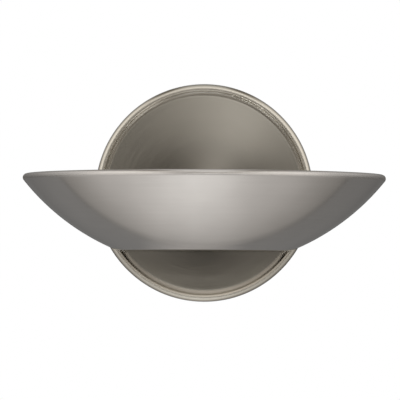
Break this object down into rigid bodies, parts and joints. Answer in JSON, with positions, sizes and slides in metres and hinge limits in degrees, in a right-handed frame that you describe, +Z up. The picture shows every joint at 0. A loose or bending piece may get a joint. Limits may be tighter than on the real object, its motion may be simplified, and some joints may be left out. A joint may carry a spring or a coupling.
{
  "type": "uplighter wall sconce",
  "caption": "Uplighter wall light: half of a spun metal dish with an open top, on a round pressed back plate with a raised bead.",
  "frame": {"origin": "centre of the back plate on the wall, midway between the two wall slots", "axes": "+X to the right along the bowl's width, +Y into the wall, +Z up"},
  "size_m": [0.3, 0.1702, 0.18],
  "materials": {
    "brushed_steel": "satin brushed",
    "zinc_sheet": "zinc plated",
    "zinc_screw": "zinc plated",
    "turned_brass": "turned",
    "tinned_copper": "tinned",
    "nickel_contact": "nickel plated",
    "spring_steel": "bright wire",
    "block_plastic": "moulded",
    "earth_sleeve": "silicone sleeve",
    "live_sleeve": "silicone sleeve",
    "neutral_sleeve": "silicone sleeve",
    "silicone": "matt",
    "polished_aluminium": "bright rolled",
    "steatite": "unglazed ceramic",
    "quartz_glass": "clear",
    "tungsten": "drawn wire"
  },
  "bodies": {
    "root": {"backplate": "brushed_steel", "bowl_shade": "brushed_steel", "wall_bracket": "zinc_sheet", "plate_fixing_screws": "zinc_screw", "terminal_block": "block_plastic", "terminal_tubes": "turned_brass", "terminal_clamp_screws": "zinc_screw", "terminal_block_screw": "zinc_screw", "earth_screw": "zinc_screw", "earth_ring_terminals": "tinned_copper", "earth_lead": "earth_sleeve", "live_lead": "live_sleeve", "neutral_lead": "neutral_sleeve", "lead_grommets": "silicone", "lamp_frame": "zinc_sheet", "frame_screws": "zinc_screw", "frame_nuts": "zinc_screw", "reflector": "polished_aluminium", "lampholder_left": "steatite", "lampholder_right": "steatite", "lampholder_covers": "steatite", "lampholder_screws": "zinc_screw", "lampholder_nuts": "zinc_screw", "contact_terminals": "turned_brass", "contact_spring_left": "spring_steel", "contact_spring_right": "spring_steel", "shelf_bracket": "zinc_sheet", "shelf_screws": "zinc_screw", "shelf_nuts": "zinc_screw", "bowl_studs": "zinc_screw", "bowl_nuts": "turned_brass"},
    "lamp": {"lamp_tube": "quartz_glass", "lamp_caps": "steatite", "lamp_contacts": "nickel_contact", "lamp_filament": "tungsten"},
    "contact_left": {"contact_plunger_left": "nickel_contact"},
    "contact_right": {"contact_plunger_right": "nickel_contact"}
  },
  "joints": [
    {"name": "lamp_slide", "type": "slide", "parent": "root", "child": "lamp", "axis": [1, 0, 0], "range_m": [-0.00175, 0.00175], "stiffness_N_per_m": 600},
    {"name": "contact_left_slide", "type": "slide", "parent": "root", "child": "contact_left", "axis": [1, 0, 0], "range_m": [-0.00175, 0.00175], "deforming": ["contact_spring_left"]},
    {"name": "contact_right_slide", "type": "slide", "parent": "root", "child": "contact_right", "axis": [1, 0, 0], "range_m": [-0.00175, 0.00175], "deforming": ["contact_spring_right"]}
  ],
  "couplings": [
    {"joint": "contact_left_slide", "follows": "lamp_slide", "ratio": 1},
    {"joint": "contact_right_slide", "follows": "lamp_slide", "ratio": 1}
  ]
}
